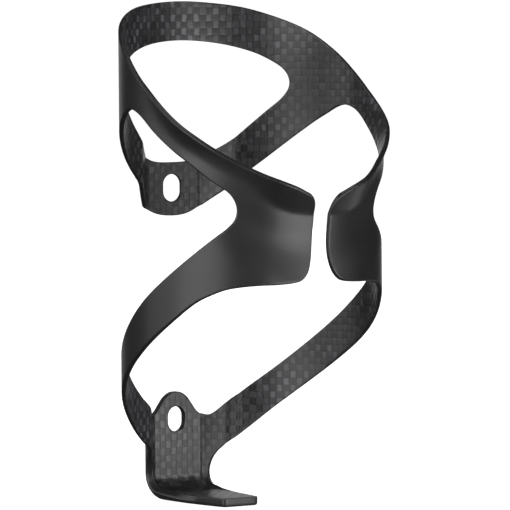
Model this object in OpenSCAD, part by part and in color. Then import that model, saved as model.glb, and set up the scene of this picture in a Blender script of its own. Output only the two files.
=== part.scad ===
// Water bottle cage for a bicycle: one moulded carbon laminate with a hoop, four arms, two tabs,
// a foot and two sprung grip wings. Millimetres, +Z up, the bottle goes in from above.
// The origin is on the mounting face, midway between the two bolt slots. +Y points into the
// bicycle frame, the grips open toward -Y, and +X is the right-hand side seen from the grips.

/* [Bottle bore] */
// Inside diameter of the cage at rest
bore_d = 69; // [60:0.5:90]
// Distance from the bore to the mounting face, room for the bolt heads behind the bottle
tab_setback = 6.5; // [5.5:0.5:12]
// Opening between the two grip wings at the front
front_gap = 5.5; // [2:0.5:12]
// How far the wing tips spring inward of the bore
tip_inset = 1.8; // [0:0.2:2.4]
// Depth of the retention ridge that snaps into the bottle's groove
ridge_depth = 2; // [0:0.2:3]
// Height of the retention ridge over the mount centre
ridge_h = 28; // [24:1:31]

/* [Laminate] */
// Thickness of the structural skin
skin_t = 1; // [0.6:0.1:2]
// Thickness of the woven inner ply
weave_t = 0.3; // [0.2:0.05:0.6]
// Thickness of the upper tab
upper_tab_t = 1.4; // [1:0.1:3]
// Thickness of the lower tab
lower_tab_t = 1.9; // [1:0.1:3]
// Thickness of the foot
foot_t = 2.2; // [1.2:0.1:4]

/* [Mount] */
// Spacing of the two frame bosses
boss_spacing = 64; // [54:1:80]
// Width of each bolt slot, clear of an M5 bolt
slot_w = 5.5; // [5.2:0.1:7]
// Overall length of each bolt slot
slot_l = 7.5; // [7:0.1:10]

/* [Tabs] */
// Width of the flat of the upper tab between its bends
upper_tab_w = 17; // [14:0.5:20]
// Width of the flat of the lower tab between its bends
lower_tab_w = 15.5; // [14:0.5:18]
// Height of the upper tab's top edge over its slot centre
upper_tab_rise = 7.5; // [6.5:0.5:12]
// Depth of the upper tab's bottom edge under its slot centre
upper_tab_drop = 7.5; // [6.5:0.5:12]
// Radius of the arch over the lower slot
arch_r = 7.5; // [6.5:0.1:7.5]
// Angle, seen from the bottle axis, where the arms reach the bore
arm_root_angle = 22; // [18:1:26]

/* [Hoop and windows] */
// Height of the hoop's top edge at the back
hoop_h = 83.5; // [74:0.5:110]
// Height of the band at the back of the hoop
hoop_band = 11; // [7:0.5:16]
// Height of the shoulder band where it flexes
shoulder_band = 9; // [6:0.5:14]
// Vertical width of the upper arms
upper_arm_band = 12.5; // [8:0.5:16]
// Vertical width of the lower arms at mid length
lower_arm_band = 12; // [8:0.5:18]
// Angle of the crotch between hoop and upper arm
crotch_angle = 51; // [44:1:58]
// Angle of the crotch between shoulder and lower arm, in the wing
wing_crotch_angle = 139; // [130:1:150]

/* [Grip wings] */
// Height of the top edge of a wing at its tip
wing_top_h = 32; // [29:0.5:38]
// Height of the bottom edge of a wing
wing_bottom_h = 8.5; // [0:0.5:12]
// Corner radius at the wing tip, as an angle round the bore
wing_corner = 6; // [3:0.5:9]
// Angle round the bore where the grips flex
flex_angle = 100; // [92:1:112]
// Gap between the fixed cage and each flexing grip
flex_gap = 0.3; // [0.2:0.05:0.6]

/* [Foot] */
// Depth of the foot's underside under the mount centre
foot_drop = 53.5; // [48:0.5:70]
// Distance from the bottle axis to the foot's front edge
foot_front = 7; // [0:0.5:20]
// Width of the foot's front edge
foot_front_w = 11; // [8:0.5:15]
// Inside radius of the bend from tab to foot
foot_bend_r = 5; // [2:0.5:6]
// Length over which the foot narrows to its shank
foot_waist_l = 11; // [8:1:16]
// Width of the foot's shank behind its taper
foot_shank_w = 16; // [12:0.5:18]

/* [Hidden] */
eps = 0.01;
curve_fn = 96;
degrees = 180 / PI;

bore_r = bore_d / 2;
mount_reach = bore_r + tab_setback;
wall = weave_t + skin_t;
upper_z = boss_spacing / 2;
lower_z = -boss_spacing / 2;
tip_angle = 180 - front_gap / 2 / bore_r * degrees;
gap_angle = flex_gap / bore_r * degrees;

// Angles where the flats of the tabs end, seen from the bottle axis
upper_bend = atan2(upper_tab_w / 2, mount_reach - upper_tab_t);
lower_bend = atan2(lower_tab_w / 2, mount_reach - lower_tab_t);

// Inner face of the tabs and of the foot
upper_face = mount_reach - upper_tab_t;
lower_face = mount_reach - lower_tab_t;
foot_top = -foot_drop + foot_t;
bend_z = foot_top + foot_bend_r;

// Bottom edge of a wing, the windows' peak and the narrowest place of the lower flange
peak_angle = 80;
peak_h = hoop_h - 29;
flange_angle = lower_bend + 3;

// --- edge curves: [angle from the mount, height], joined smoothly ---

// Top edge of hoop, shoulder and wing
top_edge = [[0, hoop_h], [30, hoop_h - 1.8], [60, hoop_h - 8.2], [90, hoop_h - 21.2],
            [120, wing_top_h + 16.8], [150, wing_top_h + 6.6], [tip_angle, wing_top_h]];
// Underside of the hoop over the back opening
hoop_under = [[0, hoop_h - hoop_band], [24, hoop_h - hoop_band - 1.4],
              [46, hoop_h - hoop_band - 6.4], [crotch_angle + 4, hoop_h - hoop_band - 10]];
// Top edge of an upper arm, from its tab to the crotch
arm_over = [[upper_bend, upper_z + upper_tab_rise], [arm_root_angle, upper_z + upper_tab_rise + 4],
            [40, hoop_h - 30.5], [crotch_angle + 4, hoop_h - 23]];
// Underside of an upper arm and of the shoulder: the top of a side window
window_top = [[upper_bend, upper_z - upper_tab_drop + 0.6],
              [arm_root_angle, upper_z + upper_tab_rise + 4 - upper_arm_band],
              [40, hoop_h - 31 - upper_arm_band], [60, peak_h - 5.2], [peak_angle, peak_h],
              [flex_angle, along(top_edge, flex_angle) - shoulder_band],
              [120, along(top_edge, 120) - shoulder_band + 1],
              [wing_crotch_angle + 5, ridge_h + 0.4]];
// Top edge of a lower arm: the bottom of a side window
window_bottom = [[lower_bend, lower_z + 0.2], [arm_root_angle, lower_z + 3],
                 [45, lower_z + 14.6], [75, lower_z + 28.9], [flex_angle, wing_bottom_h],
                 [120, wing_bottom_h + 8.9], [wing_crotch_angle + 5, ridge_h - 0.4]];
// Bottom edge of a lower arm and of a wing
low_edge = [[flange_angle, lower_z - 14], [flange_angle + 2.5, lower_z - 10.4],
            [arm_root_angle + 4, lower_z - 5.6],
            [45, lower_z + 14.6 - lower_arm_band + 1], [75, lower_z + 28.9 - lower_arm_band - 0.4],
            [flex_angle, wing_bottom_h - lower_arm_band - 1.4],
            [120, wing_bottom_h - 4.7], [134, wing_bottom_h - 1], [tip_angle, wing_bottom_h + 0.5]];

// Cubic through the points of a curve, with slopes taken from the neighbours
function span(pts, x, i = 0) = i >= len(pts) - 2 || x < pts[i + 1][0] ? i : span(pts, x, i + 1);
function slope(pts, i) =
    let (a = max(i - 1, 0), b = min(i + 1, len(pts) - 1))
    (pts[b][1] - pts[a][1]) / (pts[b][0] - pts[a][0]);
function along(pts, x) =
    let (i = span(pts, x), w = pts[i + 1][0] - pts[i][0], t = (x - pts[i][0]) / w)
    pts[i][1] * (1 + 2 * t) * pow(1 - t, 2) + slope(pts, i) * w * t * pow(1 - t, 2)
    + pts[i + 1][1] * (3 - 2 * t) * t * t + slope(pts, i + 1) * w * (t - 1) * t * t;

// Rounded end of a window: 1 along its length, falling to 0 at the crotch
function rounded(a, from, to) = a <= from ? 1 : sqrt(max(0, 1 - pow((a - from) / (to - from), 2)));
function toward(mid, edge, share) = mid + (edge - mid) * share;

// The height halfway between the edges of an opening, where its crotch ends
function opening_mid(over, under, a) = (along(over, a) + along(under, a)) / 2;
function rounded_edge(edge, over, under, a, run, crotch) =
    let (at = min(a, crotch))
    toward(opening_mid(over, under, at), along(edge, at), rounded(at, crotch - run, crotch));
crotch_run = 6;
wing_crotch_run = 11;
function hoop_under_at(a) =
    rounded_edge(hoop_under, hoop_under, arm_over, a, crotch_run, crotch_angle);
function arm_over_at(a) =
    rounded_edge(arm_over, hoop_under, arm_over, a, crotch_run, crotch_angle);
function window_top_at(a) =
    rounded_edge(window_top, window_top, window_bottom, a, wing_crotch_run, wing_crotch_angle);
function window_bottom_at(a) =
    rounded_edge(window_bottom, window_top, window_bottom, a, wing_crotch_run, wing_crotch_angle);

// Rounded corners of the wing tip
corner_h = wing_corner / degrees * bore_r;
function corner_drop(a) =
    let (past = max(0, a - tip_angle + wing_corner) / wing_corner)
    corner_h * (1 - sqrt(max(0, 1 - past * past)));
function top_at(a) = along(top_edge, a) - corner_drop(a);
// The lower flange stands on the foot's inner bend, clear of it at the flange's rear face
function bend_low(a) =
    let (y = wall_point(a, lower_bend, lower_face, wall)[1] - lower_face + foot_bend_r)
    bend_z - sqrt(max(0, foot_bend_r * foot_bend_r - y * y));
function low_at(a) = a <= flange_angle ? bend_low(a) : along(low_edge, a) + corner_drop(a);

// --- plan view of the laminate ---

function unit(v) = v / norm(v);
function round_point(a, r) = r * [sin(a), cos(a)];
function bend_point(bend, face) = [face * tan(bend), face];
// The corner of two walls with normals n and m, pushed outward by d
function mitre(p, n, m, d) = p + d * (n + m) / (1 + n * m);
function wall_normal(bend, face) =
    let (run = unit(round_point(arm_root_angle, bore_r) - bend_point(bend, face)))
    [-run[1], run[0]];
// A point on the slanted wall between a tab's bend and the bore
function wall_point(a, bend, face, d) =
    let (b = bend_point(bend, face), c = round_point(arm_root_angle, bore_r), e = c - b,
         n = wall_normal(bend, face), ray = round_point(a, 1),
         t = (b[0] * ray[1] - b[1] * ray[0]) / (e[1] * ray[0] - e[0] * ray[1]))
    a <= bend + eps ? mitre(b, [0, 1], n, d)
    : a >= arm_root_angle - eps ? mitre(c, n, unit(c), d)
    : b + e * t + n * d;

// The wings lean inward at their tips and carry the ridge
ease_from = 118;
ease_run = 16;
ridge_half = 9;
function ease(t) = let (u = min(1, max(0, t))) u * u * (3 - 2 * u);
function ridge(z) = pow(max(0, 1 - pow((z - ridge_h) / ridge_half, 2)), 2);
function inset(a, z) =
    tip_inset * pow(max(0, a - ease_from) / (180 - ease_from), 2)
    + ridge_depth * ease((a - ease_from) / ease_run) * ridge(z);

// The skin and the woven ply of a piece lie at these depths behind the bore
skin = [weave_t, wall];
weave = [0, weave_t];

// One column of a band: a row is [inner point, outer point, height]
function round_column(a, heights, depth) =
    [for (z = heights) [round_point(a, bore_r + depth[0] - inset(a, z)),
                        round_point(a, bore_r + depth[1] - inset(a, z)), z]];
function root_column(a, heights, depth, bend, face) =
    [for (z = heights) [wall_point(a, bend, face, depth[0]),
                        wall_point(a, bend, face, depth[1]), z]];
function levels(low, high, rows) = [for (j = [0:rows]) low + (high - low) * j / rows];

// Angles from a to b: evenly spaced, or crowded toward b where an edge turns in
function spread(a, b, n) = [for (i = [0:n]) a + (b - a) * i / n];
function crowd(a, b, n) = [for (i = [0:n]) a + (b - a) * sin(90 * i / n)];

function quad(a, b, c, d) = [[a, b, c], [a, c, d]];

// A band of laminate through columns that run round the cage. Side is 1 on the right and -1 on
// the left. The cells of gap_row are left open over the first gap_end columns, and past
// them that row has no height.
module band(columns, side, gap_row = -1, gap_end = 0) {
    points = [for (column = columns) for (p = column) each
              [[side * p[0][0], p[0][1], p[2]], [side * p[1][0], p[1][1], p[2]]]];
    n = len(columns) - 1;
    m = len(columns[0]) - 1;
    function id(i, j, k) = (i * (m + 1) + j) * 2 + k;
    rows = [for (j = [0:m - 1]) if (j != gap_row) j];
    faces = concat(
        [for (i = [0:n - 1]) for (j = rows) each
            concat(quad(id(i, j, 0), id(i + 1, j, 0), id(i + 1, j + 1, 0), id(i, j + 1, 0)),
                   quad(id(i, j, 1), id(i, j + 1, 1), id(i + 1, j + 1, 1), id(i + 1, j, 1)))],
        [for (i = [0:n - 1]) each
            concat(quad(id(i, 0, 0), id(i, 0, 1), id(i + 1, 0, 1), id(i + 1, 0, 0)),
                   quad(id(i, m, 0), id(i + 1, m, 0), id(i + 1, m, 1), id(i, m, 1)))],
        [for (j = rows) each
            concat(quad(id(0, j, 0), id(0, j + 1, 0), id(0, j + 1, 1), id(0, j, 1)),
                   quad(id(n, j, 0), id(n, j, 1), id(n, j + 1, 1), id(n, j + 1, 0)))],
        [for (i = [0:1:gap_end - 1]) let (g = gap_row) each
            concat(quad(id(i, g, 0), id(i + 1, g, 0), id(i + 1, g, 1), id(i, g, 1)),
                   quad(id(i, g + 1, 0), id(i, g + 1, 1), id(i + 1, g + 1, 1),
                        id(i + 1, g + 1, 0)))]);
    polyhedron(points, side < 0 ? faces : [for (f = faces) [f[0], f[2], f[1]]]);
}
module placed() { translate([0, -mount_reach, 0]) children(); }

// --- layers of the curved pieces ---

hoop_steps = 22;
module hoop_layer(depth) {
    half = crowd(0, crotch_angle, hoop_steps);
    angles = concat([for (i = [hoop_steps:-1:1]) -half[i]], half);
    placed() band([for (a = angles)
        round_column(a, levels(hoop_under_at(abs(a)), top_at(abs(a)), 1), depth)], 1);
}

shoulder_steps = 26;
module shoulder_layer(depth, side) {
    placed() band([for (a = spread(crotch_angle, flex_angle - gap_angle / 2, shoulder_steps))
        round_column(a, levels(window_top_at(a), top_at(a), 1), depth)], side);
}

arm_steps = 22;
module upper_arm_layer(depth, side) {
    root = root_column(upper_bend, levels(window_top_at(upper_bend), arm_over_at(upper_bend), 1),
                       depth, upper_bend, upper_face);
    a1 = arm_root_angle;
    knee = root_column(a1, levels(window_top_at(a1), arm_over_at(a1), 1),
                       depth, upper_bend, upper_face);
    arm = crowd(a1, crotch_angle, arm_steps);
    placed() band(concat([root, knee], [for (i = [1:arm_steps])
        round_column(arm[i], levels(window_top_at(arm[i]), arm_over_at(arm[i]), 1), depth)]), side);
}

flange_steps = 4;
fillet_steps = 5;
module lower_arm_layer(depth, side) {
    wall_angles = concat(spread(lower_bend, flange_angle, flange_steps),
                         spread(flange_angle + eps, arm_root_angle, fillet_steps));
    arm = spread(arm_root_angle, flex_angle - gap_angle / 2, arm_steps);
    placed() band(concat(
        [for (a = wall_angles)
            root_column(a, levels(low_at(a), window_bottom_at(a), 1), depth, lower_bend, lower_face)],
        [for (i = [1:arm_steps])
            round_column(arm[i], levels(low_at(arm[i]), window_bottom_at(arm[i]), 1), depth)]), side);
}

leg_rows = 5;
leg_steps = 14;
wing_steps = 14;
module wing_layer(depth, side) {
    legs = crowd(flex_angle + gap_angle / 2, wing_crotch_angle, leg_steps);
    tip = crowd(wing_crotch_angle, tip_angle, wing_steps);
    placed() band([for (a = concat(legs, [for (i = [1:wing_steps]) tip[i]]))
        round_column(a, concat(levels(low_at(a), window_bottom_at(a), leg_rows),
                               levels(window_top_at(a), top_at(a), leg_rows)), depth)],
        side, leg_rows, leg_steps);
}

// --- flat pieces ---

// Plan of a tab between its mitred bends, from depth d0 to d1 behind its inner face
module tab_plan(bend, face, d0, d1) {
    near = mitre(bend_point(bend, face), [0, 1], wall_normal(bend, face), d0);
    far = mitre(bend_point(bend, face), [0, 1], wall_normal(bend, face), d1);
    polygon([[-near[0], near[1]], [near[0], near[1]], [far[0], far[1]], [-far[0], far[1]]]);
}
module slot(z) {
    for (end = [-1, 1])
        translate([0, 0, z + end * (slot_l - slot_w) / 2]) rotate([-90, 0, 0])
            cylinder(d = slot_w, h = 2 * mount_reach, $fn = curve_fn);
    translate([-slot_w / 2, 0, z - (slot_l - slot_w) / 2])
        cube([slot_w, 2 * mount_reach, slot_l - slot_w]);
}

edge_steps = 12;
edge_sag = 0.6;
module upper_tab_layer(d0, d1) {
    low = window_top_at(upper_bend);
    high = arm_over_at(upper_bend);
    half = upper_tab_w / 2;
    // The edges run level and turn up to meet the arms at the bends
    function sag(x) = edge_sag * (1 - pow(x / half, 4));
    across = [for (i = [-edge_steps:edge_steps]) half * i / edge_steps];
    outline = concat([[-upper_tab_w, low]], [for (x = across) [x, low - sag(x)]],
                     [[upper_tab_w, low], [upper_tab_w, high]],
                     [for (x = across) [-x, high - sag(x)]], [[-upper_tab_w, high]]);
    placed() difference() {
        intersection() {
            translate([0, 0, -mount_reach]) linear_extrude(4 * mount_reach)
                tab_plan(upper_bend, upper_face, d0, d1);
            rotate([90, 0, 0]) translate([0, 0, -2 * mount_reach])
                linear_extrude(2 * mount_reach) polygon(outline);
        }
        slot(upper_z);
    }
}

module lower_tab_layer(d0, d1) {
    low = bend_z;
    high = window_bottom_at(lower_bend);
    placed() difference() {
        intersection() {
            translate([0, 0, -2 * mount_reach]) linear_extrude(4 * mount_reach)
                tab_plan(lower_bend, lower_face, d0, d1);
            union() {
                translate([-lower_tab_w, 0, low]) cube([2 * lower_tab_w, 2 * mount_reach, high - low]);
                translate([0, 0, lower_z]) rotate([-90, 0, 0])
                    cylinder(r = arch_r, h = 2 * mount_reach, $fn = curve_fn);
            }
        }
        slot(lower_z);
    }
}

// A block in the side view whose rear bottom corner is rounded
module corner_block(front, rear, low, high, r) {
    translate([front, low + r]) square([rear - front, high - low - r]);
    translate([front, low]) square([rear - r - front, high - low]);
    translate([rear - r, low + r]) circle(r, $fn = curve_fn);
}
front_corner_r = 1.5;
waist_steps = 10;
// Plan of the foot: as wide as the flanges at the back, a waist, then a taper to the front edge
module foot_plan() {
    out = wall_point(flange_angle, lower_bend, lower_face, wall);
    rear = mitre(bend_point(lower_bend, lower_face), [0, 1], wall_normal(lower_bend, lower_face),
                 lower_tab_t);
    waist_y = out[1] - foot_waist_l;
    function waist(t) = [foot_shank_w / 2 + (out[0] - foot_shank_w / 2) * pow(1 - t, 2.2),
                         out[1] - foot_waist_l * t];
    front = [foot_front_w / 2, foot_front];
    right = concat([rear, out], [for (i = [1:waist_steps]) waist(i / waist_steps)],
                   [front + [0, front_corner_r], front - [front_corner_r, 0]]);
    polygon(concat(right, [for (i = [len(right) - 1:-1:0]) [-right[i][0], right[i][1]]]));
}
module foot_layer(d0, d1) {
    bend_out = foot_bend_r + min(lower_tab_t, foot_t);
    outer_r = d1 > weave_t ? bend_out : foot_bend_r + d1;
    rear = d1 > weave_t ? mount_reach : lower_face + d1;
    under = d1 > weave_t ? -foot_drop : foot_top - d1;
    placed() intersection() {
        rotate([90, 0, 90]) translate([0, 0, -mount_reach]) linear_extrude(2 * mount_reach)
            difference() {
                corner_block(foot_front, rear, under, bend_z + 1, outer_r);
                corner_block(foot_front - 1, lower_face + d0, foot_top - d0, bend_z + 1,
                             foot_bend_r + d0);
            }
        translate([0, 0, -2 * foot_drop]) linear_extrude(2 * foot_drop + bend_z) foot_plan();
    }
}

// --- pieces ---

carbon = [0.09, 0.09, 0.1];
woven = [0.2, 0.2, 0.22];

module back_hoop() { color(carbon) hoop_layer(skin); }
module back_hoop_weave() { color(woven) hoop_layer(weave); }
module left_shoulder() { color(carbon) shoulder_layer(skin, -1); }
module left_shoulder_weave() { color(woven) shoulder_layer(weave, -1); }
module right_shoulder() { color(carbon) shoulder_layer(skin, 1); }
module right_shoulder_weave() { color(woven) shoulder_layer(weave, 1); }
module left_upper_arm() { color(carbon) upper_arm_layer(skin, -1); }
module left_upper_arm_weave() { color(woven) upper_arm_layer(weave, -1); }
module right_upper_arm() { color(carbon) upper_arm_layer(skin, 1); }
module right_upper_arm_weave() { color(woven) upper_arm_layer(weave, 1); }
module upper_tab() { color(carbon) upper_tab_layer(weave_t, upper_tab_t); }
module upper_tab_weave() { color(woven) upper_tab_layer(0, weave_t); }
module left_lower_arm() { color(carbon) lower_arm_layer(skin, -1); }
module left_lower_arm_weave() { color(woven) lower_arm_layer(weave, -1); }
module right_lower_arm() { color(carbon) lower_arm_layer(skin, 1); }
module right_lower_arm_weave() { color(woven) lower_arm_layer(weave, 1); }
module lower_tab() { color(carbon) lower_tab_layer(weave_t, lower_tab_t); }
module lower_tab_weave() { color(woven) lower_tab_layer(0, weave_t); }
module foot() { color(carbon) foot_layer(weave_t, foot_t); }
module foot_weave() { color(woven) foot_layer(0, weave_t); }
module left_wing() { color(carbon) wing_layer(skin, -1); }
module left_wing_weave() { color(woven) wing_layer(weave, -1); }
module right_wing() { color(carbon) wing_layer(skin, 1); }
module right_wing_weave() { color(woven) wing_layer(weave, 1); }

back_hoop();
back_hoop_weave();
left_shoulder();
left_shoulder_weave();
right_shoulder();
right_shoulder_weave();
left_upper_arm();
left_upper_arm_weave();
right_upper_arm();
right_upper_arm_weave();
upper_tab();
upper_tab_weave();
left_lower_arm();
left_lower_arm_weave();
right_lower_arm();
right_lower_arm_weave();
lower_tab();
lower_tab_weave();
foot();
foot_weave();
left_wing();
left_wing_weave();
right_wing();
right_wing_weave();
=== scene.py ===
import math

import bmesh
import bpy
import numpy as np
from mathutils import Matrix, Vector


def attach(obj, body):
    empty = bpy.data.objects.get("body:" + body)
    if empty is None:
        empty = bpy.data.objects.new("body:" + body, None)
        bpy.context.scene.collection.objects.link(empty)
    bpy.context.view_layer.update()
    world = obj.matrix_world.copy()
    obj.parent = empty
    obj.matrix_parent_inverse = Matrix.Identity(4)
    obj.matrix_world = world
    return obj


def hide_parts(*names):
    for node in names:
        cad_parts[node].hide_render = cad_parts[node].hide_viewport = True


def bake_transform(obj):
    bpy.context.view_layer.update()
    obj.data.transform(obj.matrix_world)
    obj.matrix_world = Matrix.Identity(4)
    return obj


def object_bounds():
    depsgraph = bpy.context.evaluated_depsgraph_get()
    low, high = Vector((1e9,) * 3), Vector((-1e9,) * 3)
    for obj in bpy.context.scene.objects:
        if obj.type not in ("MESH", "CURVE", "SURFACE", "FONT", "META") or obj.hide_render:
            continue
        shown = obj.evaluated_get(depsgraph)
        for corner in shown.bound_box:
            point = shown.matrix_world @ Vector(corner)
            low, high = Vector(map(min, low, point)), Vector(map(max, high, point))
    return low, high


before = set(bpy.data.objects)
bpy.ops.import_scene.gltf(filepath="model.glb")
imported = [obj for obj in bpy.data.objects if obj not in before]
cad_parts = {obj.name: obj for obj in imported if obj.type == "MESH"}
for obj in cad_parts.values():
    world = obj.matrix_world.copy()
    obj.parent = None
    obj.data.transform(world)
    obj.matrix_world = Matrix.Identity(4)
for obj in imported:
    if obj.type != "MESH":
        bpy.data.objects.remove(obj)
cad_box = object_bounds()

# Water bottle cage moulded in carbon fibre. Every piece of laminate is cut from a flat pattern in
# millimetres, given its thickness and rounded edges while flat, and then laid over the mould.
# Pattern axes: X runs round the cage, Z is height, Y is the depth behind the inner face.

MM = 0.001
BORE_R = 34.5        # inner face of the cage round the bottle
REACH = 41.0         # from the bottle axis to the mounting face
PLY = 0.3            # woven inner ply
WALL = 1.3           # whole laminate
RIM_STRIP = 0.4      # flat strip beside a rounded edge
SEAM_CUT = 0.12      # from the end of a piece to the first cut across it
SMOOTH_BELOW = 40    # edges that turn by fewer degrees are shaded smooth
FAR = 1e3            # past the end of any pattern
TOW = 1.9            # width of one tow of the weave
RELIEF = 0.12        # how far a tow or a cloud of resin stands proud
PERIOD = 2 * TOW     # the weave repeats after two tows

# --- mould: plan of the laminate, seen from above -------------------------------------------


def rounded_corner(before, corner, after, radius, steps=14):
    """Points of a fillet that replaces the corner of a path."""
    a, c, b = (np.array(p, float) for p in (before, corner, after))
    u, v = (a - c) / np.linalg.norm(a - c), (b - c) / np.linalg.norm(b - c)
    half = math.acos(np.clip(u @ v, -1, 1)) / 2
    middle = c + (u + v) / np.linalg.norm(u + v) * radius / math.sin(half)
    start, end = c + u * radius / math.tan(half), c + v * radius / math.tan(half)
    a0, a1 = (math.atan2(*(p - middle)[::-1]) for p in (start, end))
    a1 = a0 + (a1 - a0 + math.pi) % (2 * math.pi) - math.pi
    return [middle + radius * np.array([math.cos(t), math.sin(t)])
            for t in np.linspace(a0, a1, steps)]


def on_bore(angle):
    return np.array([math.sin(math.radians(angle)), math.cos(math.radians(angle))]) * BORE_R


class Mould:
    """Inner face of a tab, its slanted walls and the bore, as a path from the middle outward."""

    END = 100.0      # angle where the path stops

    def __init__(self, half, face, bend_radius, knee_radius, root_angle):
        self.face = face
        level = root_angle + 4.5     # past this angle the path is the bore itself
        bend, root = np.array([half, face]), on_bore(root_angle)
        onward = np.array([math.cos(math.radians(root_angle)), -math.sin(math.radians(root_angle))])
        path = [np.array([0.0, face])]
        path += rounded_corner(path[0], bend, root, bend_radius)
        path += rounded_corner(bend, root, root + onward, knee_radius)
        path += [on_bore(a) for a in np.arange(level - 0.5, self.END, 0.5)]
        path = np.array(path)
        run = np.concatenate([[0], np.cumsum(np.linalg.norm(np.diff(path, axis=0), axis=1))])
        self.run = np.arange(0, run[-1], 0.05)
        self.x, self.y = (np.interp(self.run, run, path[:, i]) for i in (0, 1))
        self.angle = np.degrees(np.arctan2(self.x, self.y))
        self.level_run = float(np.interp(level, self.angle, self.run))
        # The weave keeps its tows in step with the bore, one period on
        self.weave_rate = (math.radians(level) * BORE_R + PERIOD) / self.level_run

    def run_at(self, angle):
        return np.interp(angle, self.angle, self.run)

    def plan(self, run):
        side = np.sign(run) + (run == 0)
        at = np.abs(run)
        return side * np.interp(at, self.run, self.x), np.interp(at, self.run, self.y)

    def cloth(self, run):
        at = np.abs(run)
        past = np.maximum(at - self.level_run, 0)
        return np.sign(run) * ((at - past) * self.weave_rate + past)


upper_mould = Mould(8.5, 39.8, 1.6, 8.0, 26.0)
lower_mould = Mould(7.8, 38.6, 1.2, 6.0, 21.0)

# Foot: the tab turns forward under the bottle
FOOT_BEND_R = 5.0
FOOT_TOP = -51.3
BEND_Z = FOOT_TOP + FOOT_BEND_R
BEND_RUN = FOOT_BEND_R * math.pi / 2
FOOT_REACH = 27.1    # from the end of the bend to the front edge
FRONT_CORNER = 1.4   # how far back the rounding of the front corners starts


def smooth_step(t):
    t = np.clip(t, 0, 1)
    return t * t * (3 - 2 * t)


# Lip of a wing: angle and height of the crease under it
CREASE = np.array([(95, 53), (104, 49), (118, 43), (130, 38.2), (140, 34.8), (148, 31.8),
                   (158, 28.7), (165, 27.3), (180, 26.3)])


def wing_inset(angle, z):
    """How far the mould lies inside the bore: the wings spring inward and flare at the lip."""
    up = z - np.interp(angle, CREASE[:, 0], CREASE[:, 1])
    soft = 5.5 - 4.7 * smooth_step((angle - 138) / 24)
    slope = 0.6 - 0.1 * smooth_step((angle - 124) / 40)
    lip = slope * (np.sqrt(np.maximum(up, 0) ** 2 + soft ** 2) - soft)
    waist = 2.0 - 0.6 * smooth_step((up + 8) / 9) - 1.2 * smooth_step((-up - 9) / 12)
    spring = (0.8 * smooth_step((angle - 92) / 30) * smooth_step((34 - z) / 14)
              + 0.9 * np.clip((angle - 118) / 62, 0, 1) ** 2)
    return (spring + waist * smooth_step((angle - 112) / 38)
            - np.minimum(lip, 3.7) * smooth_step((angle - 92) / 28))


def bore_surface(run, z):
    angle = np.abs(run) / BORE_R
    r = BORE_R - wing_inset(np.degrees(angle), z)
    return np.stack([np.sign(run) * r * np.sin(angle), r * np.cos(angle) - REACH, z], 1)


def bore_cloth(run):
    return run


def upper_surface(run, z):
    x, y = upper_mould.plan(run)
    return np.stack([x, y - REACH, z], 1)


def lower_surface(run, z):
    x, y = lower_mould.plan(run)
    rise = lower_mould.face - y
    past = np.maximum(BEND_Z - z, 0)
    turn = np.minimum(past / FOOT_BEND_R, math.pi / 2)
    along = np.maximum(past - BEND_RUN, 0)
    centre = lower_mould.face - FOOT_BEND_R
    arm = FOOT_BEND_R - rise
    bent = past > 0
    y = np.where(bent, centre + arm * np.cos(turn) - along, y)
    z = np.where(bent, BEND_Z - arm * np.sin(turn), z)
    return np.stack([x, y - REACH, z], 1)


def even_wall(run, z):
    return np.full_like(run, WALL)


def upper_wall(run, z):
    return WALL - 0.1 * (1 - smooth_step((np.abs(run) - 7) / 6))


def lower_wall(run, z):
    below = smooth_step((BEND_Z + 3 - z) / 5)
    beside = 1 - smooth_step((np.abs(run) - 6.5) / 7)
    return WALL + 1.1 * np.maximum(beside, 0.82 * below)


# --- edges of the laminate, right-hand half ---------------------------------------------------


def spline(points, step=0.7):
    """Smooth line through points, evenly stepped."""
    p = np.array(points, float)
    p = np.vstack([2 * p[0] - p[1], p, 2 * p[-1] - p[-2]])
    out = []
    for i in range(1, len(p) - 2):
        t = np.concatenate([[0], np.cumsum(np.linalg.norm(np.diff(p[i - 1:i + 3], axis=0), axis=1)
                                           ** 0.5)])
        for s in np.linspace(t[1], t[2], 13)[:-1]:
            a = [p[i - 1 + k] * (t[k + 1] - s) / (t[k + 1] - t[k])
                 + p[i + k] * (s - t[k]) / (t[k + 1] - t[k]) for k in range(3)]
            b = [a[k] * (t[k + 2] - s) / (t[k + 2] - t[k])
                 + a[k + 1] * (s - t[k]) / (t[k + 2] - t[k]) for k in range(2)]
            out.append(b[0] * (t[2] - s) / (t[2] - t[1]) + b[1] * (s - t[1]) / (t[2] - t[1]))
    out = np.array(out + [p[-2]])
    run = np.concatenate([[0], np.cumsum(np.linalg.norm(np.diff(out, axis=0), axis=1))])
    n = max(2, int(round(run[-1] / step)) + 1)
    even = np.linspace(0, run[-1], n)
    return np.stack([np.interp(even, run, out[:, i]) for i in (0, 1)], 1)


def clip(line, low, high, axis=0):
    """The part of a line between two values of an axis, with exact ends, for a line that
    crosses each value once."""
    v = line[:, axis]
    keep = (v > low + 0.25) & (v < high - 0.25)
    first, last = np.flatnonzero(keep)[[0, -1]]

    def end(i, j):
        if not 0 <= j < len(line):
            return line[:0]
        while low < v[j] < high and 0 <= j + j - i < len(line):
            i, j = j, j + j - i
        target = low if v[j] <= low else high
        t = (target - v[i]) / (v[j] - v[i])
        return [line[i] + (line[j] - line[i]) * t]
    return np.vstack([end(first, first - 1), line[first:last + 1], end(last, last + 1)])


def bore(angle):
    """Angle from the middle of the back to distance along the bore pattern."""
    return math.radians(angle) * BORE_R


def bore_points(points):
    return [(bore(a), z) for a, z in points]


def mould_points(mould, points):
    """Points given by angle and height, on the pattern of a tab's mould."""
    return [(float(mould.run_at(a)), z) for a, z in points]


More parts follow.
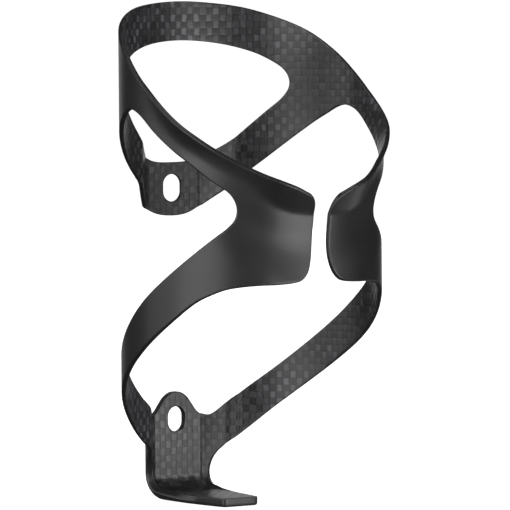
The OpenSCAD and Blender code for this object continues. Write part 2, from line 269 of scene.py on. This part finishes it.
TOP = [(-15, 83.0), (0, 83.5), (15, 83.0), (30, 81.7), (45, 79.0), (60, 75.2), (75, 69.4),
       (90, 62.4), (105, 55.8), (120, 49.2), (135, 43.2), (150, 38.6), (160, 36.1), (166, 34.6)]
TIP = [(170, 33.4), (172.8, 32.5), (174.7, 30.8), (175.5, 28.2), (175.5, 24), (175.2, 18),
       (174.3, 14.2), (172.4, 11.3), (169.2, 9.5), (165, 8.9)]
WING_LOW = [(158, 8.6), (150, 8.5), (141, 8.1), (134, 7.4), (127, 5.9), (120, 3.9), (105, -2.6),
            (90, -9.1), (75, -15.2), (60, -21.5), (45, -28.1), (30, -35.2)]
HOOP_UNDER = [(-12, 72.3), (0, 72.7), (12, 72.3), (24, 71.1), (36, 68.9), (43, 66.8)]
BACK_CROTCH = [(46, 65.7), (48.3, 64.6), (50.2, 63.1), (51.2, 61.2), (50.8, 59.4), (49.2, 57.8),
               (46.6, 56.1)]
ARM_OVER = [(40, 52.9), (30, 47.9), (24, 45.2)]
ARM_UNDER = [(24, 32.8), (30, 35.5), (40, 40.0), (48, 43.7), (56, 47.2), (64, 50.4), (70, 52.4),
             (76, 54.2), (81, 54.8), (86, 54.2), (91, 52.7), (100, 48.5), (110, 44.1), (120, 39.9),
             (127, 36.6)]
WING_CROTCH = [(132.6, 34.4), (136.2, 32.7), (138.4, 30.5), (138.9, 28.1), (137.7, 25.8),
               (134.8, 23.9), (130, 21.7)]
LOW_ARM_OVER = [(120, 17.2), (105, 10.4), (90, 3.6), (75, -3.4), (60, -10.3), (45, -17.2),
                (30, -23.8)]

# Where one piece of laminate ends and the next begins
HOOP_END, ARM_END, LOW_ARM_START, WING_START = 40, 40, 26, 85


outer_edge = spline(bore_points(TOP + TIP + WING_LOW + [(20, -39.6)]))
turn = int(np.argmax(outer_edge[:, 0]))
top_edge, low_edge = outer_edge[:turn + 1], outer_edge[turn:]
back_edge = spline(bore_points(HOOP_UNDER + BACK_CROTCH + ARM_OVER + [(20, 43.4)]))
turn = int(np.argmax(back_edge[:, 0]))
hoop_edge, arm_edge = back_edge[:turn + 1], back_edge[turn:]
side_edge = spline(bore_points([(20, 30.6)] + ARM_UNDER + WING_CROTCH + LOW_ARM_OVER
                               + [(20, -28.4)]))
turn = int(np.argmax(side_edge[:, 0]))
under_edge, over_edge = side_edge[:turn + 1], side_edge[turn:]


def slot_half(z, width=5.5, length=7.5, steps=16):
    """Right half of a bolt slot, from its top to its bottom."""
    r = width / 2
    turn = [math.pi / 2 * i / steps for i in range(steps + 1)]
    top = [(r * math.sin(a), z + length / 2 - r + r * math.cos(a)) for a in turn]
    return np.array(top + [(x, 2 * z - h) for x, h in top[::-1]])


class Pattern:
    """Closed outline of one piece. Free edges are rounded, and cut edges meet another piece."""

    def __init__(self):
        self.points, self.free = [], []

    def along(self, line, free=True):
        line = [tuple(p) for p in line]
        if self.points and np.linalg.norm(np.subtract(self.points[-1], line[0])) < 1e-3:
            line = line[1:]
            self.free[-1] = free
        elif self.points:
            self.free[-1] = False
        self.points += line
        self.free += [free] * len(line)
        return self

    def closed(self):
        if np.linalg.norm(np.subtract(self.points[-1], self.points[0])) < 1e-3:
            self.points.pop()
            self.free.pop()
        else:
            self.free[-1] = False
        return self


# --- from pattern to laminate -----------------------------------------------------------------


def only(piece):
    bpy.ops.object.select_all(action="DESELECT")
    piece.select_set(True)
    bpy.context.view_layer.objects.active = piece


def flat_sheet(name, pattern, mirrored):
    """A disc with the pattern's corners, drawn out to it. A middle piece gets both halves."""
    n = len(pattern.points)
    bpy.ops.object.select_all(action="DESELECT")
    bpy.ops.mesh.primitive_circle_add(vertices=n, radius=1, fill_type="NGON")
    sheet = bpy.context.object
    sheet.name = sheet.data.name = name
    co = np.array([(x, 0, z) for x, z in pattern.points])
    sheet.data.vertices.foreach_set("co", co.ravel())
    if mirrored:
        bpy.ops.object.mode_set(mode="EDIT")
        bpy.ops.mesh.select_all(action="SELECT")
        bpy.ops.mesh.duplicate()
        bpy.ops.transform.resize(value=(-1, 1, 1), center_override=(0, 0, 0))
        bpy.ops.mesh.select_all(action="SELECT")
        bpy.ops.mesh.remove_doubles(threshold=1e-3)
        bpy.ops.object.mode_set(mode="OBJECT")
    sheet.data.update()
    return sheet


def rim_edges(mesh, pattern, depth):
    """Edges of the free outline at a depth, found by the place of their middle."""
    pts = np.array(pattern.points)
    nxt = np.roll(pts, -1, axis=0)
    mids = ((pts + nxt) / 2)[np.array(pattern.free)]
    found = []
    for e in mesh.edges:
        a, b = e.verts
        if abs(a.co.y - depth) < 1e-4 and abs(b.co.y - depth) < 1e-4:
            m = (a.co + b.co) / 2
            if np.min((mids[:, 0] - abs(m.x)) ** 2 + (mids[:, 1] - m.z) ** 2) < 1e-6:
                found.append(e)
    return found


def laminate(name, pattern, surface, wall, cloth, near, far, rim, rounding, columns, rows,
             mirrored=False):
    """One layer of a piece, from depth near to far, its rim rounded at one of the two."""
    sheet = flat_sheet(name, pattern, mirrored)
    only(sheet)
    bpy.ops.object.mode_set(mode="EDIT")
    bpy.ops.mesh.select_all(action="SELECT")
    bpy.ops.mesh.extrude_region_move(TRANSFORM_OT_translate={"value": (0, WALL, 0)})
    bpy.ops.mesh.select_all(action="SELECT")
    bpy.ops.mesh.normals_make_consistent(inside=False)
    mesh = bmesh.from_edit_mesh(sheet.data)
    for v in mesh.verts:
        v.co.y = near if v.co.y < WALL / 2 else far
    bpy.ops.mesh.select_all(action="DESELECT")
    for e in rim_edges(mesh, pattern, rim):
        e.select_set(True)
    bmesh.update_edit_mesh(sheet.data)
    bpy.ops.mesh.bevel(offset=rounding, segments=4, affect="EDGES", clamp_overlap=True)
    # A narrow flat strip beside the rounding keeps the faces of the laminate from looking pillowed
    mesh = bmesh.from_edit_mesh(sheet.data)
    bpy.ops.mesh.select_mode(type="FACE")
    bpy.ops.mesh.select_all(action="DESELECT")
    for f in mesh.faces:
        f.select_set(len(f.verts) > 20)
    bmesh.update_edit_mesh(sheet.data)
    bpy.ops.mesh.inset(thickness=RIM_STRIP, depth=0, use_boundary=True, use_even_offset=True)
    mesh = bmesh.from_edit_mesh(sheet.data)
    for axis, places in ((0, columns), (2, rows)):
        normal = Vector((1, 0, 0)) if axis == 0 else Vector((0, 0, 1))
        for at in places:
            bmesh.ops.bisect_plane(mesh, geom=mesh.verts[:] + mesh.edges[:] + mesh.faces[:],
                                   dist=1e-4, plane_co=normal * at, plane_no=normal)
    bmesh.update_edit_mesh(sheet.data)
    bpy.ops.object.mode_set(mode="OBJECT")
    lay_down(sheet, surface, wall, cloth)
    return sheet


def lay_down(sheet, surface, wall, cloth):
    """Gives the flat laminate its weave coordinates and lays it over the mould, in metres."""
    data = sheet.data
    co = np.empty(len(data.vertices) * 3)
    data.vertices.foreach_get("co", co)
    run, depth, z = co.reshape(-1, 3).T
    for layer in list(data.uv_layers):
        data.uv_layers.remove(layer)
    uv = data.uv_layers.new(name="cloth")
    corner = np.empty(len(data.loops), int)
    data.loops.foreach_get("vertex_index", corner)
    flat = np.stack([cloth(run), z], 1)[corner] * MM
    uv.uv.foreach_set("vector", flat.astype(np.float32).ravel())
    h = 0.02
    across = surface(run + h, z) - surface(run - h, z)
    up = surface(run, z + h) - surface(run, z - h)
    normal = np.cross(up, across)
    normal /= np.linalg.norm(normal, axis=1)[:, None]
    past = np.clip((depth - PLY) / (WALL - PLY), 0, 1)
    depth = np.where(depth > PLY, PLY + past * (wall(run, z) - PLY), depth)
    place = (surface(run, z) + normal * depth[:, None]) * MM
    data.vertices.foreach_set("co", place.ravel())
    data.update()
    only(sheet)
    bpy.ops.object.shade_smooth_by_angle(angle=math.radians(SMOOTH_BELOW))


def opposite(piece, name):
    """The same piece for the other hand."""
    twin = piece.copy()
    twin.data = piece.data.copy()
    twin.name = twin.data.name = name
    bpy.context.collection.objects.link(twin)
    only(twin)
    bpy.ops.object.mode_set(mode="EDIT")
    bpy.ops.mesh.select_all(action="SELECT")
    bpy.ops.transform.resize(value=(-1, 1, 1), center_override=(0, 0, 0))
    bpy.ops.mesh.flip_normals()
    bpy.ops.object.mode_set(mode="OBJECT")
    uv = np.empty(len(twin.data.loops) * 2, np.float32)
    twin.data.uv_layers[0].uv.foreach_get("vector", uv)
    uv[::2] *= -1
    twin.data.uv_layers[0].uv.foreach_set("vector", uv)
    return twin


def stations(low, high, step):
    """Evenly spaced cuts, with one close to each end so that pieces meet without a seam."""
    n = max(1, int(round((high - low) / step)))
    inner = [low + (high - low) * i / n for i in range(1, n)]
    return [low + SEAM_CUT] + inner + [high - SEAM_CUT]


# --- materials --------------------------------------------------------------------------------


def colour(hex_value):
    """sRGB hex to linear RGBA."""
    out = []
    for i in (0, 2, 4):
        c = int(hex_value[i:i + 2], 16) / 255
        out.append(c / 12.92 if c <= 0.04045 else ((c + 0.055) / 1.055) ** 2.4)
    return (*out, 1.0)


def add(tree, kind, inputs, out=0, **settings):
    """Adds a node and gives back one of its outputs. Its inputs, in order or by name, are each an
    output of another node or a plain value."""
    node = tree.nodes.new("ShaderNode" + kind)
    for key, value in settings.items():
        setattr(node, key, value)
    for key, value in inputs.items() if isinstance(inputs, dict) else enumerate(inputs):
        if isinstance(value, bpy.types.NodeSocket):
            tree.links.new(value, node.inputs[key])
        else:
            node.inputs[key].default_value = value
    return node.outputs[out]


def finish_with(name, **values):
    """A material with one shader, and its even settings on the shader's own sockets."""
    material = bpy.data.materials.new(name)
    material.use_nodes = True
    tree = material.node_tree
    shader = tree.nodes["Principled BSDF"]
    for key, value in values.items():
        shader.inputs[key.replace("_", " ")].default_value = value
    return material, tree, shader


def plain_weave():
    """3K carbon plain weave under a satin clear coat: flat tows 1.9 mm wide that pass over and
    under each other. The upright tows get a painted sheen in their base colour, stronger in some
    places than in others."""
    material, tree, shader = finish_with("carbon_plain_weave", IOR=1.5, Anisotropic=0.4,
                                         Coat_Weight=0.2, Coat_Roughness=0.3)
    cloth = add(tree, "UVMap", [], uv_map="cloth")
    body = add(tree, "TexCoord", [], out="Object")

    # Place on the cloth, counted in tows, with the tows wandering a little from straight
    at = add(tree, "VectorMath", [cloth, (1 / (TOW * MM),) * 3], operation="MULTIPLY")
    wander = add(tree, "TexNoise", {"Vector": body, "Scale": 260.0, "Detail": 2.0}, out="Color")
    wander = add(tree, "VectorMath", [wander, (0.5,) * 3], operation="SUBTRACT")
    wander = add(tree, "VectorMath", {0: wander, "Scale": 0.55}, operation="SCALE")
    at = add(tree, "VectorMath", [at, wander], operation="ADD")
    cells, parts = [], []
    for axis in "XY":
        along = add(tree, "SeparateXYZ", [at], out=axis)
        cells.append(add(tree, "Math", [along], operation="FLOOR"))
        part = add(tree, "Math", [along], operation="FRACT")
        part = add(tree, "Math", [part, 0.5], operation="SUBTRACT")
        parts.append(add(tree, "Math", [part], operation="ABSOLUTE"))

    # In every second square the upright tow is on top
    over = add(tree, "Math", cells, operation="ADD")
    over = add(tree, "Math", [over], operation="ABSOLUTE")
    over = add(tree, "Math", [over, 2.0], operation="MODULO")
    over = add(tree, "Math", [over, 0.5], operation="GREATER_THAN")

    # Each tow is domed across its width and dips at both ends of the square where it is on top
    domes = []
    for own, other in (parts, parts[::-1]):
        fall = add(tree, "Math", [own, 3.0], operation="POWER")
        fall = add(tree, "Math", [fall, 3.6], operation="MULTIPLY")
        dip = add(tree, "Math", [other, 4.0], operation="POWER")
        dip = add(tree, "Math", [dip, 8.0], operation="MULTIPLY")
        dome = add(tree, "Math", [1.0, fall], operation="SUBTRACT")
        domes.append(add(tree, "Math", [dome, dip], operation="SUBTRACT"))
    dome = add(tree, "Mix", {"Factor": over, "A": domes[1], "B": domes[0]}, data_type="FLOAT")

    # Filaments along each tow, drawn coarser than the real 7 micron ones
    strands = []
    for stretch in ((9.0, 0.7, 1.0), (0.7, 9.0, 1.0)):
        grain = add(tree, "VectorMath", [at, stretch], operation="MULTIPLY")
        strands.append(add(tree, "TexNoise", {"Vector": grain, "Scale": 1.0, "Detail": 2.0}))
    strand = add(tree, "Mix", {"Factor": over, "A": strands[1], "B": strands[0]},
                 data_type="FLOAT")

    # Every square differs a little, and so do larger patches of the cloth; the patches only change
    # how strong the painted sheen is
    spot = add(tree, "CombineXYZ", cells)
    lot = add(tree, "TexWhiteNoise", {"Vector": spot}, noise_dimensions="3D")
    patch = add(tree, "TexNoise", {"Vector": body, "Scale": 45.0, "Detail": 3.0})
    patch = add(tree, "MapRange", [patch, 0.38, 0.62, 0.22, 1.0])

    # Painted sheen: the middle of an upright tow, narrower than the tow, is painted lighter, by a
    # random amount per square
    across = add(tree, "MapRange", [parts[0], 0.26, 0.44, 1.0, 0.0])
    along = add(tree, "MapRange", [parts[1], 0.40, 0.52, 1.0, 0.0])
    painted_sheen = add(tree, "Math", [across, along], operation="MULTIPLY")
    painted_sheen = add(tree, "Math", [over, painted_sheen], operation="MULTIPLY")
    bright = add(tree, "MapRange", [lot, 0.0, 1.0, 0.25, 1.0])
    bright = add(tree, "Math", [patch, bright], operation="MULTIPLY")
    painted_sheen = add(tree, "Math", [painted_sheen, bright], operation="MULTIPLY")
    level = add(tree, "Math", [1.0, over], operation="SUBTRACT")
    dull = add(tree, "MapRange", [lot, 0.0, 1.0, 0.0, 0.2])
    level = add(tree, "Math", [level, dull], operation="MULTIPLY")
    light = add(tree, "Math", [painted_sheen, level], operation="ADD")
    streak = add(tree, "Math", [strand, 0.5], operation="SUBTRACT")
    light = add(tree, "Math", [streak, 0.4, light], operation="MULTIPLY_ADD")

    # Base colour: random tone of the tows and filaments, with the painted sheen of the upright tows
    # mixed in
    tow = add(tree, "Mix", {"Factor": light, "A": colour("0e0e0f"), "B": colour("5e5e63")}, out=2,
              data_type="RGBA", clamp_factor=True)
    gap = add(tree, "MapRange", [dome, 0.2, 0.6, 0.5, 1.0])
    shade = add(tree, "Mix", {"Factor": gap, "A": colour("0b0b0c"), "B": tow}, out=2,
                data_type="RGBA", clamp_factor=True)
    tree.links.new(shade, shader.inputs["Base Color"])
    rough = add(tree, "Math", [over, -0.06, 0.40], operation="MULTIPLY_ADD")
    rough = add(tree, "Math", [lot, 0.06, rough], operation="MULTIPLY_ADD")
    tree.links.new(rough, shader.inputs["Roughness"])
    height = add(tree, "Math", [strand, 0.12, dome], operation="MULTIPLY_ADD")
    bump = add(tree, "Bump", {"Height": height, "Strength": 0.45, "Distance": RELIEF * MM})
    tree.links.new(bump, shader.inputs["Normal"])

    # The sheen follows the tow that is on top: upright ones lie a quarter turn from level ones
    quarter = add(tree, "Math", [over, 0.25], operation="MULTIPLY")
    tree.links.new(quarter, shader.inputs["Anisotropic Rotation"])
    tangent = add(tree, "Tangent", [], direction_type="UV_MAP", uv_map="cloth")
    tree.links.new(tangent, shader.inputs["Tangent"])
    return material


def moulded_skin():
    """Carbon laminate as it leaves the mould, with a satin clear coat: near black, a soft sheen,
    a faint cloudiness where resin and fibre differ, and no weave."""
    material, tree, shader = finish_with("satin_carbon_skin", IOR=1.5, Coat_Weight=0.2,
                                         Coat_Roughness=0.28)
    body = add(tree, "TexCoord", [], out="Object")
    cloud = add(tree, "TexNoise", {"Vector": body, "Scale": 70.0, "Detail": 4.0,
                                   "Roughness": 0.6})
    fine = add(tree, "TexNoise", {"Vector": body, "Scale": 2600.0, "Detail": 2.0})
    tint = add(tree, "Mix", {"Factor": cloud, "A": colour("111112"), "B": colour("1c1c1e")},
               out=2, data_type="RGBA", clamp_factor=True)
    tree.links.new(tint, shader.inputs["Base Color"])
    rough = add(tree, "Math", [fine, 0.06, 0.33], operation="MULTIPLY_ADD")
    rough = add(tree, "Math", [cloud, 0.14, rough], operation="MULTIPLY_ADD")
    tree.links.new(rough, shader.inputs["Roughness"])
    height = add(tree, "Math", [fine, 0.12], operation="MULTIPLY")
    height = add(tree, "Math", [cloud, 0.5, height], operation="MULTIPLY_ADD")
    bump = add(tree, "Bump", {"Height": height, "Strength": 0.25, "Distance": RELIEF * MM})
    tree.links.new(bump, shader.inputs["Normal"])
    return material


woven_carbon = plain_weave()
carbon_skin = moulded_skin()

# --- pieces -----------------------------------------------------------------------------------

hoop = (Pattern().along(clip(top_edge, 0, bore(HOOP_END)))
        .along(clip(hoop_edge, 0, bore(HOOP_END))[::-1]).closed())

shoulder_top = clip(top_edge, bore(HOOP_END), bore(WING_START))
shoulder_under = clip(under_edge, bore(ARM_END), bore(WING_START))
crotch = np.vstack([clip(hoop_edge, bore(HOOP_END), FAR), clip(arm_edge, bore(ARM_END), FAR)[1:]])
shoulder = (Pattern().along(shoulder_top).along(shoulder_under[::-1])
            .along(crotch[::-1]).closed())

wing_crotch = np.vstack([clip(under_edge, bore(WING_START), FAR),
                         clip(over_edge, bore(WING_START), FAR)[1:]])
wing_rim = np.vstack([clip(top_edge, bore(WING_START), FAR),
                      clip(low_edge, bore(WING_START), FAR)[1:]])
wing = Pattern().along(wing_rim).along(wing_crotch[::-1]).closed()

low_arm = (Pattern().along(clip(over_edge, bore(LOW_ARM_START), bore(WING_START))[::-1])
           .along(clip(low_edge, bore(LOW_ARM_START), bore(WING_START))).closed())


# Upper tab and arm: the tab's own edges run level and turn up into the arms
TAB_CUT = 10.6       # where the tab ends and the arm begins
upper_over = spline(
    [(-4.0, 39.2), (0, 39.1), (4.0, 39.2), (6.4, 39.6), (8.4, 40.5), (10.4, 41.4), (13.9, 42.7)]
    + mould_points(upper_mould, [(26, 45.8), (30, 47.8), (40, 52.9), (46.6, 56.1)]))
upper_under = spline(
    [(-3.0, 24.4), (0, 24.3), (3.0, 24.5), (5.2, 25.0), (7.3, 25.9), (8.5, 26.6), (12.0, 28.8),
     (16.5, 31.6)]
    + mould_points(upper_mould, [(26, 33.7), (30, 35.5), (40, 40.0), (48, 43.7)]))
arm_cut = float(upper_mould.run_at(ARM_END))
upper_slot = slot_half(32, width=5.8, length=7.6)
upper_tab = (Pattern().along(clip(upper_over, 0, TAB_CUT))
             .along(clip(upper_under, 0, TAB_CUT)[::-1]).along(upper_slot[::-1]).closed())
upper_arm = (Pattern().along(clip(upper_over, TAB_CUT, arm_cut))
             .along(clip(upper_under, TAB_CUT, arm_cut)[::-1]).closed())

# Lower tab with its arch, side walls and foot
low_cut = float(lower_mould.run_at(LOW_ARM_START))
lower_over = spline(
    [(-1.5, -24.6), (0, -24.4), (1.5, -24.6), (3.4, -25.8), (5.0, -27.8), (6.6, -29.9),
     (8.1, -31.0), (9.4, -31.2), (10.7, -30.9), (12.6, -29.7), (14.9, -27.9)]
    + mould_points(lower_mould, [(26, -25.5), (30, -23.8)]))
lower_under = spline(
    mould_points(lower_mould, [(30, -35.2), (26, -37.0)])
    + [(15.2, -39.1), (12.6, -41.2), (10.9, -43.4), (10.0, -45.8), (9.6, -48.4), (9.4, -52.0),
       (9.0, -55.5), (8.4, -59.0), (8.0, -63.0), (7.5, -68.0), (6.9, -72.5), (6.3, -76.9)])
foot_end = BEND_Z - BEND_RUN - FOOT_REACH
front_corner = (5.85, foot_end + FRONT_CORNER)
foot_front = spline([front_corner, (5.6, foot_end + 0.6), (4.9, foot_end + 0.1),
                     (3.6, foot_end), (0, foot_end)], step=0.4)
lower_under = np.vstack([lower_under, spline([(6.3, -76.9), (5.95, foot_end + 2.2),
                                              front_corner])[1:]])
FOOT_CUT = -43.6     # where the lower tab ends and the foot begins
lower_slot = slot_half(-32, length=7.0)
lower_tab = (Pattern().along(clip(lower_over, 0, low_cut))
             .along(clip(clip(lower_under, 0, low_cut), FOOT_CUT, 0, axis=1))
             .along([(0, FOOT_CUT)]).along(lower_slot[::-1]).closed())
foot = (Pattern().along(clip(lower_under, -FAR, FOOT_CUT, axis=1)).along(foot_front[1:])
        .along([(0, FOOT_CUT)]).closed())
# The rounded front is free all along, and only the cut and the middle line aren't
for i, p in enumerate(foot.points):
    if p[1] <= foot_end + FRONT_CORNER + 0.01:
        foot.free[i - 1] = True
foot.free[-1] = foot.free[-2] = False

UPPER = (upper_surface, upper_wall, upper_mould.cloth)
LOWER = (lower_surface, lower_wall, lower_mould.cloth)
BORE = (bore_surface, even_wall, bore_cloth)


def both_sides(cuts):
    return sorted({-c for c in cuts} | set(cuts))


bend_cols = [6.3, 6.7, 7.0, 7.3, 7.6, 7.9, 8.2, 8.5, 8.8, 9.2, 9.8]
tab_cols = [0.0, 1.5, 3, 4.5, 5.5] + bend_cols
low_tab_cols = tab_cols + stations(10.4, low_cut, 0.7)
foot_rows = ([BEND_Z + 0.6] + [BEND_Z - BEND_RUN * i / 12 for i in range(13)]
             + [BEND_Z - BEND_RUN - 0.6] + stations(foot_end, BEND_Z - BEND_RUN - 2, 2.0))
tip_run = float(outer_edge[:, 0].max())

# name, pattern, mould, columns, rows, one of a pair, body
PIECES = [
    ("back_hoop", hoop, BORE, both_sides(stations(0, bore(HOOP_END), 1.0)), [], False, "cage"),
    ("shoulder", shoulder, BORE, stations(bore(HOOP_END), bore(WING_START), 0.9),
     [50, 55, 60, 65, 70], True, "cage"),
    ("upper_arm", upper_arm, UPPER, stations(TAB_CUT, arm_cut, 0.7), [], True, "cage"),
    ("upper_tab", upper_tab, UPPER, both_sides(tab_cols + [TAB_CUT - SEAM_CUT]),
     [28, 32, 36], False, "cage"),
    ("lower_arm", low_arm, BORE, stations(bore(LOW_ARM_START), bore(WING_START), 0.9), [], True,
     "cage"),
    ("lower_tab", lower_tab, LOWER, both_sides(low_tab_cols), [-40, FOOT_CUT + SEAM_CUT], False,
     "cage"),
    ("foot", foot, LOWER, both_sides(tab_cols + [10.4, 11.0]),
     [FOOT_CUT - SEAM_CUT] + foot_rows, False, "cage"),
    ("wing", wing, BORE, stations(bore(WING_START), tip_run, 0.9),
     list(np.arange(-10, 62, 0.9)), True, "grip"),
]
# layer, slot, material, end of the node's name, near and far depth, depth of the rounded rim and
# its radius
LAYERS = [
    ("skin", "carbon_skin", carbon_skin, "", PLY, WALL, WALL, 0.45),
    ("ply", "woven_carbon", woven_carbon, "_weave", 0.0, PLY, 0.0, 0.22),
]

for region, pattern, (surface, wall, cloth), columns, rows, paired, body in PIECES:
    for layer, slot, material, suffix, near, far, rim, rounding in LAYERS:
        name = region if not paired else "right_" + region
        piece = laminate(f"{name}_{layer}", pattern, surface, wall, cloth, near, far, rim,
                         rounding, columns, rows, mirrored=not paired)
        made = [(piece, name)]
        if paired:
            made.append((opposite(piece, f"left_{region}_{layer}"), "left_" + region))
        for part, node in made:
            part.data.materials.clear()
            part.data.materials.append(material)
            if body == "grip":
                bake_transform(part)
            else:
                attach(part, body)
            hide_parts(node + suffix)

# --- camera, floor and light ------------------------------------------------------------------

# A long lens, 33 degrees round from the front toward -X and 3 degrees up
camera = bpy.data.objects.new("camera", bpy.data.cameras.new("camera"))
bpy.context.collection.objects.link(camera)
camera.data.sensor_width = 36
camera.data.lens = 348.8
camera.data.clip_start, camera.data.clip_end = 0.05, 60
camera.matrix_world = Matrix((
    (0.83100, 0.03545, -0.55513, -0.73991),
    (-0.55621, 0.03890, -0.83013, -1.14846),
    (-0.00783, 0.99861, 0.05204, 0.08434),
    (0, 0, 0, 1)))
bpy.context.scene.camera = camera

bpy.ops.object.select_all(action="DESELECT")
bpy.ops.mesh.primitive_circle_add(vertices=96, radius=5, fill_type="NGON",
                                  location=(0, 0, cad_box[0][2] - 0.0004))
floor = bpy.context.object
floor.name = "floor"
# The floor's rim sweeps up into a plain wall all round
bpy.ops.object.mode_set(mode="EDIT")
for grow, lift in ((1.05, 0.04), (1.05, 0.12), (1.04, 0.25), (1.02, 0.5), (1.0, 3.0)):
    bpy.ops.mesh.extrude_region_move(TRANSFORM_OT_translate={"value": (0, 0, lift)})
    bpy.ops.transform.resize(value=(grow, grow, 1))
bpy.ops.object.mode_set(mode="OBJECT")
paper, tree, shader = finish_with("white_paper_sweep", Roughness=0.9,
                                  Emission_Color=(1, 1, 1, 1), Emission_Strength=1.0)
body = add(tree, "TexCoord", [], out="Object")
fibres = add(tree, "TexNoise", {"Vector": body, "Scale": 400.0})
tree.links.new(add(tree, "Mix", {"Factor": fibres, "A": colour("f4f4f4"), "B": colour("ffffff")},
                   out=2, data_type="RGBA"), shader.inputs["Base Color"])
floor.data.materials.append(paper)
floor.visible_glossy = False
floor.visible_diffuse = False
floor.visible_shadow = False


AIM = Vector((0, -REACH * MM, 0.015))      # the middle of the cage
# Name, azimuth from the front toward +X and elevation in degrees, distance, width and height in
# metres, watts
SOFTBOXES = [
    ("left", -74, 8, 1.6, 1.3, 1.5, 18),
    ("front", 12, -13, 0.5, 0.42, 0.27, 1.65),
    ("front_strip", 33, 20, 1.6, 0.65, 0.26, 5.5),
    ("far_left", -118, 16, 1.6, 1.1, 1.2, 6.5),
    ("back", 148, 8, 1.6, 1.5, 0.8, 2.6),
    ("low_right", 92, -32, 1.6, 0.8, 0.7, 1.5),
    ("top", 0, 85, 1.6, 0.9, 0.9, 4),
]
for name, azimuth, elevation, distance, width, height, power in SOFTBOXES:
    a, e = math.radians(azimuth), math.radians(elevation)
    away = Vector((math.sin(a) * math.cos(e), -math.cos(a) * math.cos(e), math.sin(e)))
    light = bpy.data.lights.new(name + "_softbox", "AREA")
    light.shape, light.size, light.size_y, light.energy = "RECTANGLE", width, height, power
    lamp = bpy.data.objects.new(light.name, light)
    bpy.context.collection.objects.link(lamp)
    lamp.location = AIM + away * distance
    lamp.rotation_euler = (-away).to_track_quat("-Z", "Y").to_euler()
    lamp.visible_camera = False

world = bpy.data.worlds.new("studio")
bpy.context.scene.world = world
world.use_nodes = True
world.node_tree.nodes["Background"].inputs[0].default_value = (1, 1, 1, 1)
world.node_tree.nodes["Background"].inputs[1].default_value = 0.06
bpy.context.scene.view_settings.view_transform = "Standard"
